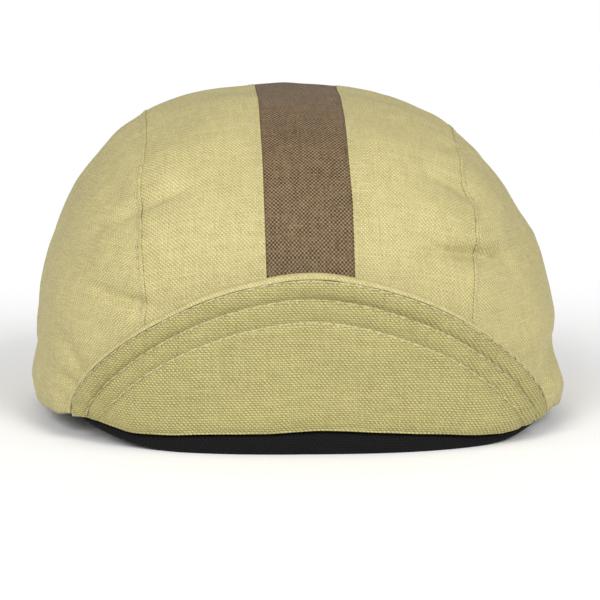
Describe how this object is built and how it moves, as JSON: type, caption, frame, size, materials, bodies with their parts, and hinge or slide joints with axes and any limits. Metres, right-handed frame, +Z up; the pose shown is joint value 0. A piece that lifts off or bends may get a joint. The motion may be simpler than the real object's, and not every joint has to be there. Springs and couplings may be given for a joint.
{
  "type": "three-panel cap",
  "caption": "Soft linen cap with a domed crown of panels, a contrast stripe over the middle, a short stitched peak turned up against the front, and a dark sweatband.",
  "frame": {"origin": "on the table, in the middle of the footprint of the cap standing on its lower edge", "axes": "+Z up through the crown, -Y towards the front where the peak is, +X to the right seen from the front"},
  "size_m": [0.1801, 0.2059, 0.109],
  "materials": {
    "crown_linen": "pale straw-yellow plain-weave linen, matt",
    "stripe_linen": "brown plain-weave linen with paler crossing threads, matt",
    "peak_linen": "straw-yellow plain-weave linen with quilted stitching, matt",
    "sweatband_mesh": "black fine-meshed stretch fabric, matt"
  },
  "bodies": {
    "root": {"side_panel_left": "crown_linen", "side_panel_right": "crown_linen", "centre_strip_left": "crown_linen", "centre_strip_right": "crown_linen", "centre_stripe": "stripe_linen", "peak_under_cover": "peak_linen", "peak_top_cover": "crown_linen", "sweatband": "sweatband_mesh"}
  },
  "joints": []
}
